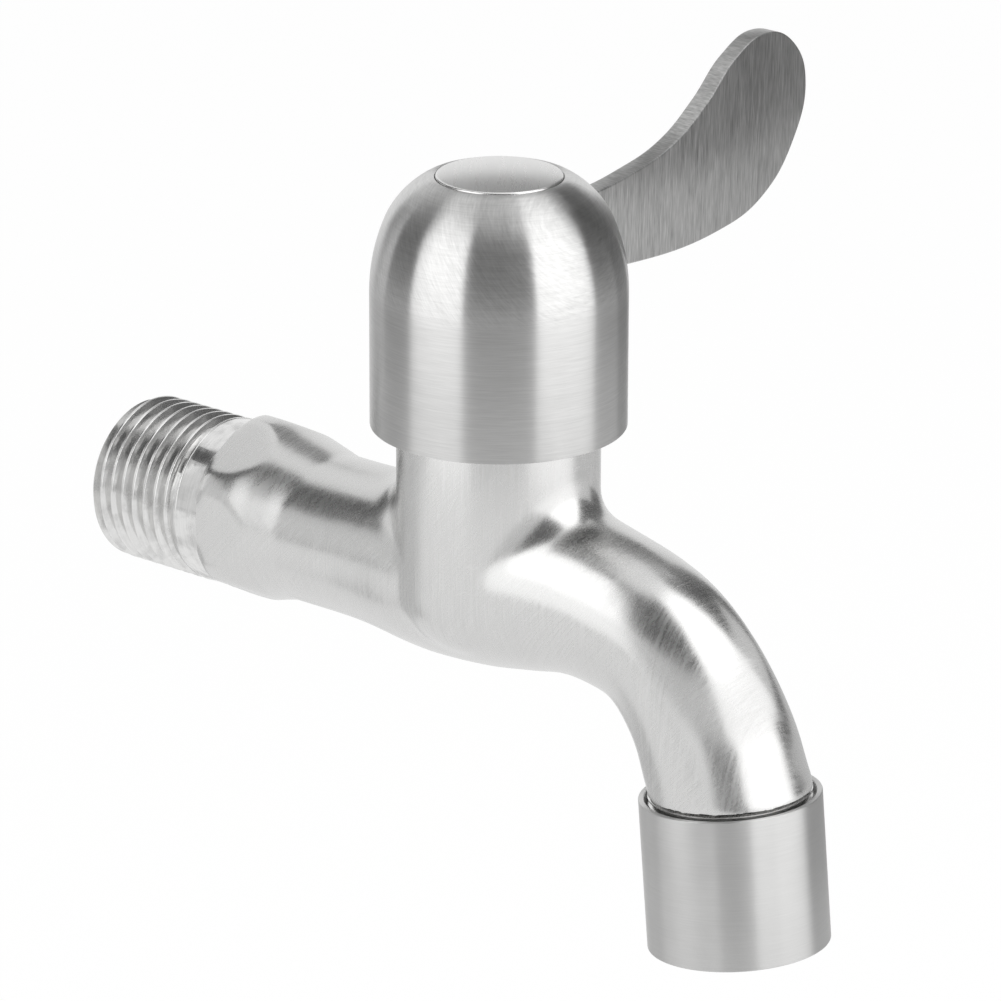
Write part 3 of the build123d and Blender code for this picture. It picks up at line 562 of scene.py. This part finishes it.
def makeLeverBlade(sizes):
    deselectAll()
    bpy.ops.curve.primitive_bezier_circle_add(radius=mm, location=(0, 0, 0))
    line = bpy.context.object
    line.name = "leverBlade"
    corners = [(sizes["tabEnd"], sizes["tabFoot"]), (sizes["tabStart"], sizes["tabFoot"]),
               (sizes["tabStart"], sizes["tabTop"]), (sizes["tabEnd"], sizes["tabTop"])]
    spline = line.data.splines[0]
    spline.bezier_points.add(len(corners) + len(bladeRim) - len(spline.bezier_points))
    for number, (point, (along, height)) in enumerate(zip(spline.bezier_points, corners + bladeRim)):
        point.co = (along * mm, height * mm, 0)
        point.handle_left_type = point.handle_right_type = "VECTOR" if number < len(corners) else "AUTO"
    # the rim leaves the top of the tab level
    root = spline.bezier_points[3]
    root.handle_right_type = "FREE"
    root.handle_right = ((sizes["tabEnd"] + sizes["rootHandle"]) * mm, sizes["tabTop"] * mm, 0)
    spline.use_cyclic_u = True
    spline.resolution_u = 16
    line.data.dimensions = "2D"
    line.data.fill_mode = "BOTH"
    line.data.extrude = (sizes["thickness"] / 2 - sizes["edge"]) * mm
    line.data.bevel_depth = sizes["edge"] * mm
    line.data.bevel_resolution = 3
    line.data.offset = -sizes["edge"] * mm
    bpy.ops.object.convert(target="MESH")
    piece = bpy.context.object
    # the outline's own plane becomes the plane across the tap
    piece.matrix_world = Matrix(((0, 0, 1, valveX * mm), (1, 0, 0, 0), (0, 1, 0, 0), (0, 0, 0, 1)))
    bpy.ops.object.transform_apply(location=True, rotation=True, scale=True)
    bpy.ops.object.mode_set(mode="EDIT")
    bpy.ops.mesh.select_all(action="SELECT")
    bpy.ops.mesh.remove_doubles(threshold=weld)
    bpy.ops.mesh.normals_make_consistent(inside=False)
    bpy.ops.object.mode_set(mode="OBJECT")
    finishPiece(piece, "handle", bladeSteel, ("lever_blade",), 24)


makeLeverBlade(bladeSizes)

# Outlet sleeve, wider at its mouth so that a gap shows round the spout, with a lip that holds the insert
sleeveSizes = {"radius": 11.09, "length": 18.808, "wall": 0.7, "mouth": 1.6, "lip": 1.1, "lipWidth": 1.6,
               "inside": 10.0, "edge": 0.14}


def makeOutletSleeve(sizes):
    radius, length, inside = sizes["radius"], sizes["length"], sizes["inside"]
    mouth = radius - sizes["wall"]
    lip, lipTop = mouth - sizes["lipWidth"], length - sizes["lip"]
    outline = [(mouth, 0), (radius, 0), (radius, length), (lip, length), (lip, lipTop), (inside, lipTop),
               (inside, sizes["mouth"]), (mouth, sizes["mouth"])]
    piece = turnPiece("outletSleeve", outline, outlet, 160)
    roundEdges(piece, sizes["edge"], 4, 30)
    finishPiece(piece, "fixed_body", sleeveSteel, ("outlet_sleeve",), 24)


makeOutletSleeve(sleeveSizes)

# Every solid's own mesh gets its finish, and the parts inside keep their shape
nodeFinishes = {
    valveBrass: ("valve_housing", "spindle", "spline_bush"),
    sealRubber: ("bonnet_gasket", "seat_seal", "lower_spindle_ring", "upper_spindle_ring", "outlet_washer"),
    discCeramic: ("fixed_disc", "moving_disc"),
    whiteAcetal: ("thrust_washer", "insert_cage", "flow_straightener"),
    springSteel: ("retaining_ring", "handle_screw", "screw_washer", "strainer_screen"),
    bodySteel: ("body",),
    capSteel: ("handle_cap",),
    bladeSteel: ("lever_blade",),
    buttonSteel: ("index_button",),
    sleeveSteel: ("outlet_sleeve",),
}
for material, names in nodeFinishes.items():
    for name in names:
        for slot in nodes[name].material_slots:
            slot.material = material
print("finishes on the solids")

# Camera at the photograph's angle. The pixel is where the valve's centre shows
view = {"azimuth": 40.43267, "elevation": 19.67524, "roll": 0.16302, "distance": 848.6513,
        "pixel": (498.26388, 579.02618), "lens": 250, "sensor": 36, "pixels": 1001, "clip": (0.02, 40)}


def placeCamera(view):
    side, lift, roll = radians(view["azimuth"]), radians(view["elevation"]), radians(view["roll"])
    back = Vector((sin(side) * cos(lift), -cos(side) * cos(lift), sin(lift)))
    right = Vector((cos(side), sin(side), 0))
    up = back.cross(right)
    rolledRight = right * cos(roll) + up * sin(roll)
    rolledUp = up * cos(roll) - right * sin(roll)
    focal = view["lens"] / view["sensor"] * view["pixels"]
    across = (view["pixel"][0] - view["pixels"] / 2) / focal
    down = (view["pixel"][1] - view["pixels"] / 2) / focal
    place = (back - rolledRight * across + rolledUp * down) * view["distance"] + valve["centre"]
    data = bpy.data.cameras.new("photoCamera")
    data.lens = view["lens"]
    data.sensor_width = view["sensor"]
    data.clip_start, data.clip_end = view["clip"]
    camera = bpy.data.objects.new("photoCamera", data)
    bpy.context.scene.collection.objects.link(camera)
    axes = Matrix((rolledRight, rolledUp, back)).transposed()
    camera.matrix_world = Matrix.Translation(place * mm) @ axes.to_4x4()
    bpy.context.scene.camera = camera
    return back, right


cameraBack, cameraRight = placeCamera(view)

# Studio: pale floor, white surroundings, and pale and dark screens that only reflections show
studio = {"floor": -190, "floorSize": 12, "floorTone": 0.95, "ownShade": 0.08, "worldTone": 0.85}


def seenDirectly(graph):
    # 1 for the camera, for reflections and through glass
    path = graph.add("ShaderNodeLightPath").socket.node
    camera, glossy, through = (Value(graph.tree, path.outputs[key])
                               for key in ("Is Camera Ray", "Is Glossy Ray", "Is Transmission Ray"))
    return graph.calculate("MAXIMUM", graph.calculate("MAXIMUM", camera, glossy), through)


def makeFloor(studio):
    deselectAll()
    bpy.ops.mesh.primitive_plane_add(size=studio["floorSize"], location=(0, 0, studio["floor"] * mm))
    floor = bpy.context.object
    floor.name = "studioFloor"
    material, graph = newMaterial("studioFloor")
    tone = studio["floorTone"]
    plain = graph.add("ShaderNodeBsdfDiffuse", None, {"Color": (tone, tone, tone, 1)})
    white = graph.add("ShaderNodeEmission", None, {"Color": (1, 1, 1, 1), "Strength": 1.0})
    share = seenDirectly(graph) * (1 - studio["ownShade"])
    mixed = graph.add("ShaderNodeMixShader", None, {0: share, 1: plain, 2: white})
    graph.add("ShaderNodeOutputMaterial", None, {"Surface": mixed})
    floor.data.materials.append(material)


def makeSurroundings(studio):
    world = bpy.data.worlds.new("studioWorld")
    bpy.context.scene.world = world
    world.use_nodes = True
    world.node_tree.nodes.clear()
    graph = Value(world.node_tree)
    tone = studio["worldTone"]
    dim = graph.add("ShaderNodeBackground", None, {"Color": (tone, tone, tone, 1), "Strength": 1.0})
    white = graph.add("ShaderNodeBackground", None, {"Color": (1, 1, 1, 1), "Strength": 1.0})
    mixed = graph.add("ShaderNodeMixShader", None, {0: seenDirectly(graph), 1: dim, 2: white})
    graph.add("ShaderNodeOutputWorld", None, {"Surface": mixed})


def pointAlong(line, share):
    # direction in radians, at a share of the way along a line of (turn, rise)
    place = min(share * (len(line) - 1), len(line) - 1.000001)
    number = int(place)
    here, there = Vector(line[number]), Vector(line[number + 1])
    turn, rise = here.lerp(there, place - number)
    return Vector((radians(turn), radians(rise)))


def makeScreen(name, rim, middle, distance, tone):
    # part of a ball round a middle point. The rim has two lines of (turn, rise): turn is measured from the
    # camera towards the right and rise up from level, both in degrees
    deselectAll()
    bpy.ops.mesh.primitive_grid_add(x_subdivisions=24, y_subdivisions=12, size=2)
    screen = bpy.context.object
    screen.name = name
    level = Vector((cameraBack.x, cameraBack.y, 0)).normalized()
    for vertex in screen.data.vertices:
        lower, upper = (pointAlong(line, (vertex.co.x + 1) / 2) for line in rim)
        around, above = lower.lerp(upper, (vertex.co.y + 1) / 2)
        direction = (level * cos(around) + cameraRight * sin(around)) * cos(above)
        direction.z = sin(above)
        vertex.co = (Vector(middle) + direction * distance) * mm
    material, graph = newMaterial(name)
    shader = graph.add("ShaderNodeEmission", None, {"Color": (1, 1, 1, 1), "Strength": tone})
    graph.add("ShaderNodeOutputMaterial", None, {"Surface": shader})
    screen.data.materials.append(material)
    screen.visible_camera = False
    screen.visible_diffuse = False
    screen.visible_shadow = False
    screen.visible_transmission = False


def patch(turn, rise):
    return [(turn[0], rise[0]), (turn[1], rise[0])], [(turn[0], rise[1]), (turn[1], rise[1])]


def ribbon(path, halfWidths):
    # two lines beside a path of (turn, rise), at a distance that changes evenly from its start to its end
    lines = ([], [])
    for number, (turn, rise) in enumerate(path):
        before, after = Vector(path[max(number - 1, 0)]), Vector(path[min(number + 1, len(path) - 1)])
        squash = cos(radians(rise))
        along = Vector(((after.x - before.x) * squash, after.y - before.y)).normalized()
        width = halfWidths[0] + (halfWidths[1] - halfWidths[0]) * number / (len(path) - 1)
        for line, sign in zip(lines, (1, -1)):
            line.append((turn - sign * along.y * width / squash, rise + sign * along.x * width))
    return lines


tapMiddle, capMiddle = (50, 0, 15), (valveX, 0, 37)
archPath = [(-140, 8), (-130, 20), (-120, 32), (-108, 45), (-97, 57), (-84, 65), (-70, 65), (-55, 61),
            (-38, 56), (-20, 50), (-8, 43)]
frontLeft = [(-12, 42), (-14, 25), (-16, 10), (-14, -2), (-8, -7)]
frontRight = [(-2, 50), (14, 37), (22, 26), (25, 12), (26, -14)]
# name: rim, distance from the tap's middle, tone
tapScreens = {
    "leftBox": (patch((-98, -14), (14, 60)), 330, 1.3),
    "leftBoxLow": (patch((-74, -14), (-4, 14)), 330, 1.1),
    "leftBoxEnd": (patch((-98, -74), (-4, 14)), 330, 1.0),
    "tableEdge": (patch((-74, -22), (-8, -4)), 320, 0.72),
    "tableEdgeEnd": (patch((-108, -74), (-9, -4)), 320, 0.5),
    "leftLow": (patch((-165, -100), (-50, -6)), 330, 0.68),
    "rightBox": (patch((20, 90), (-6, 76)), 330, 1.8),
    "rightBoxLow": (patch((52, 90), (-26, -6)), 330, 1.25),
    "rightScreen": (patch((93, 151), (-8, 49)), 230, 0.14),
    "rightLow": (patch((93, 160), (-28, -8)), 230, 0.66),
    "archTop": (ribbon(archPath, (9, 6.5)), 280, 0.09),
    "archFront": ((frontLeft, frontRight), 285, 0.33),
    "backScreen": (patch((144, 196), (31, 62)), 225, 0.3),
}
# name: turn, tone of the upper screen, tone of the lower one. All stand clear of the lever's swing
capScreens = {
    "capFront": ((-29, 30), 0.09, 0.72),
    "capLeft": ((-108, -76), 0.1, 0.76),
    "capRight": ((84, 116), 0.1, 0.76),
    "capLeftBox": ((-76, -29), 1.85, 1.42),
    "capRightBox": ((30, 84), 1.95, 1.42),
}
capDistance, upperRise, lowerRise = 75, (-3, 55), (-30, -3)
makeFloor(studio)
makeSurroundings(studio)
for name, (rim, distance, tone) in tapScreens.items():
    makeScreen(name, rim, tapMiddle, distance, tone)
for name, (turn, upperTone, lowerTone) in capScreens.items():
    makeScreen(name, patch(turn, upperRise), capMiddle, capDistance, upperTone)
    makeScreen(name + "Low", patch(turn, lowerRise), capMiddle, capDistance, lowerTone)

lampLook = {"place": (0.35, -0.1, 0.75), "aim": (0.05, 0, 0), "size": 0.6, "energy": 3.0}


def makeLamp(look):
    deselectAll()
    bpy.ops.object.light_add(type="AREA", location=look["place"])
    lamp = bpy.context.object
    lamp.name = "softLamp"
    lamp.data.shape = "RECTANGLE"
    lamp.data.size = lamp.data.size_y = look["size"]
    lamp.data.energy = look["energy"]
    lamp.rotation_euler = (Vector(look["aim"]) - lamp.location).to_track_quat("-Z", "Y").to_euler()
    lamp.visible_camera = False
    lamp.visible_glossy = False


makeLamp(lampLook)
print("studio ready")

scene = bpy.context.scene
scene.view_settings.view_transform = "Standard"
